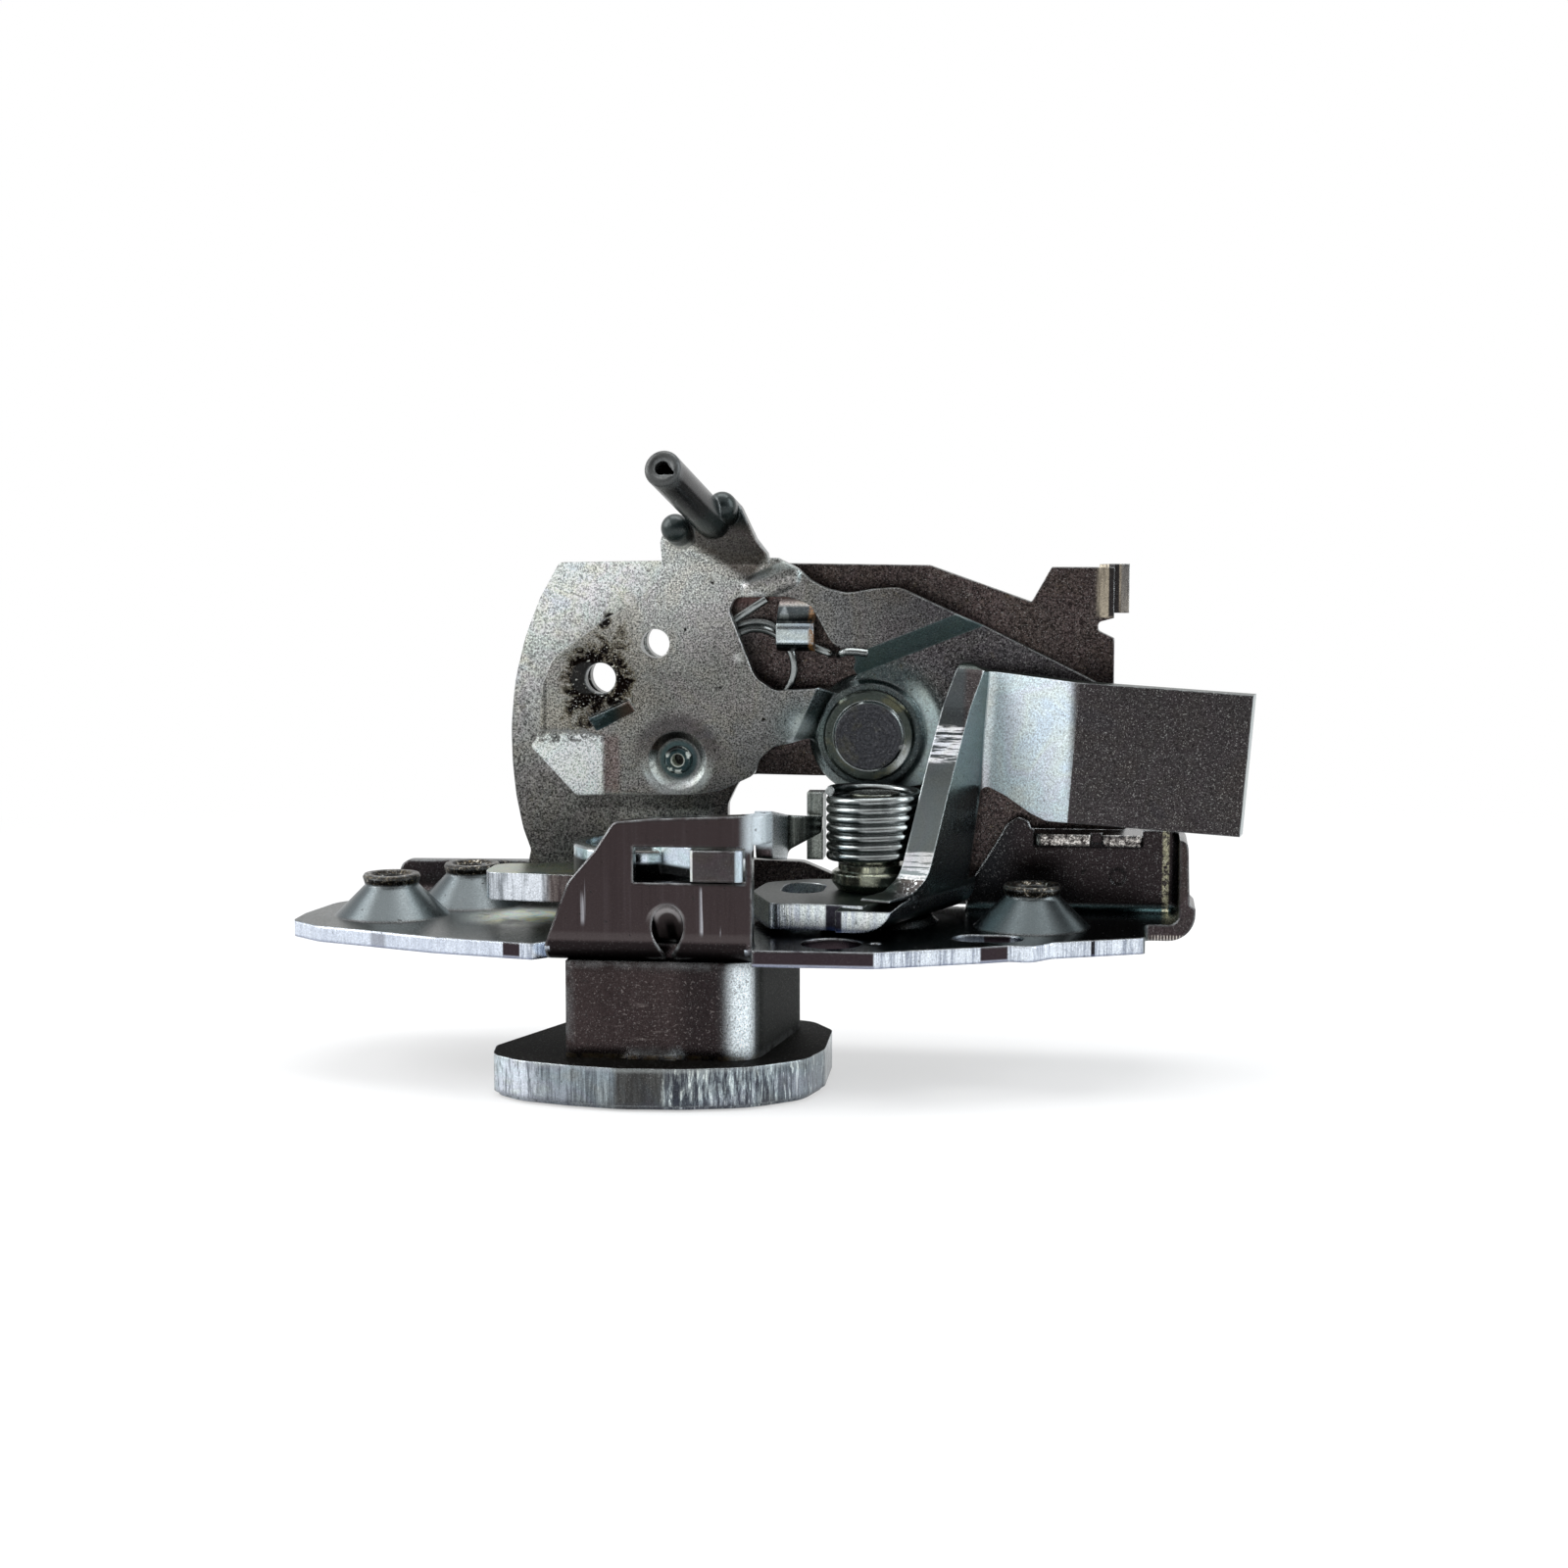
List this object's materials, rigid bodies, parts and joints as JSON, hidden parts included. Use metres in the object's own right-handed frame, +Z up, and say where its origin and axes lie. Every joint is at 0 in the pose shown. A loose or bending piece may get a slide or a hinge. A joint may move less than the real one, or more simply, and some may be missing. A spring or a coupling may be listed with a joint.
{
  "type": "door latch",
  "caption": "Door latch on a stamped plate, with a release lever, a sprung pull lever and a rotor in a box that reaches through the door edge.",
  "frame": {"origin": "on the underside of the base plate, the face that meets the door edge, beside the box", "axes": "+X to the pull pad's side, +Y away from the front flange, +Z up out of the mounting face"},
  "size_m": [0.1318, 0.0501, 0.085],
  "materials": {
    "zinc_sheet": "zinc plated sheet, fine grain",
    "dark_sheet": "plated sheet, dull and dark",
    "cut_steel": "bright plated steel",
    "spring_wire": "bright drawn wire"
  },
  "bodies": {
    "frame": {"base_plate": "zinc_sheet", "back_plate": "dark_sheet", "bolt_box": "dark_sheet", "cover_plate": "cut_steel", "box_posts": "cut_steel", "pull_stud": "cut_steel", "pull_collar": "cut_steel", "shaft_collar": "cut_steel", "main_rivet": "cut_steel", "lock_rivet": "cut_steel"},
    "hub": {"rotor": "cut_steel", "rotor_shaft": "cut_steel", "cam_lever": "cut_steel", "lock_hub": "zinc_sheet"},
    "pull": {"pull_lever": "zinc_sheet", "pull_spring": "spring_wire"},
    "release": {"release_lever": "zinc_sheet", "eyelet_rivet": "cut_steel", "toggle_spring": "spring_wire"},
    "lock": {"lock_lever": "zinc_sheet"}
  },
  "joints": [
    {"name": "hub_turn", "type": "hinge", "parent": "frame", "child": "hub", "pos_m": [-0.0277, -0.0015, 0], "axis": [0, 0, 1], "range_deg": [-20, 0]},
    {"name": "pull_turn", "type": "hinge", "parent": "frame", "child": "pull", "pos_m": [0.0025, 0.008, 0], "axis": [0, 0, 1], "range_deg": [-20, 0], "stiffness_Nm_per_rad": 0.25, "springref_deg": 20.05},
    {"name": "release_turn", "type": "hinge", "parent": "frame", "child": "release", "pos_m": [0.0008, 0.0195, 0.0269], "axis": [0, 1, 0], "range_deg": [0, 11], "stiffness_Nm_per_rad": 0.15, "springref_deg": -20.05, "deforming": ["toggle_spring"]},
    {"name": "lock_turn", "type": "hinge", "parent": "frame", "child": "lock", "pos_m": [-0.0225, 0.0205, 0.046], "axis": [0, 1, 0], "range_deg": [0, 4], "stiffness_Nm_per_rad": 0.005, "springref_deg": -17.19}
  ]
}
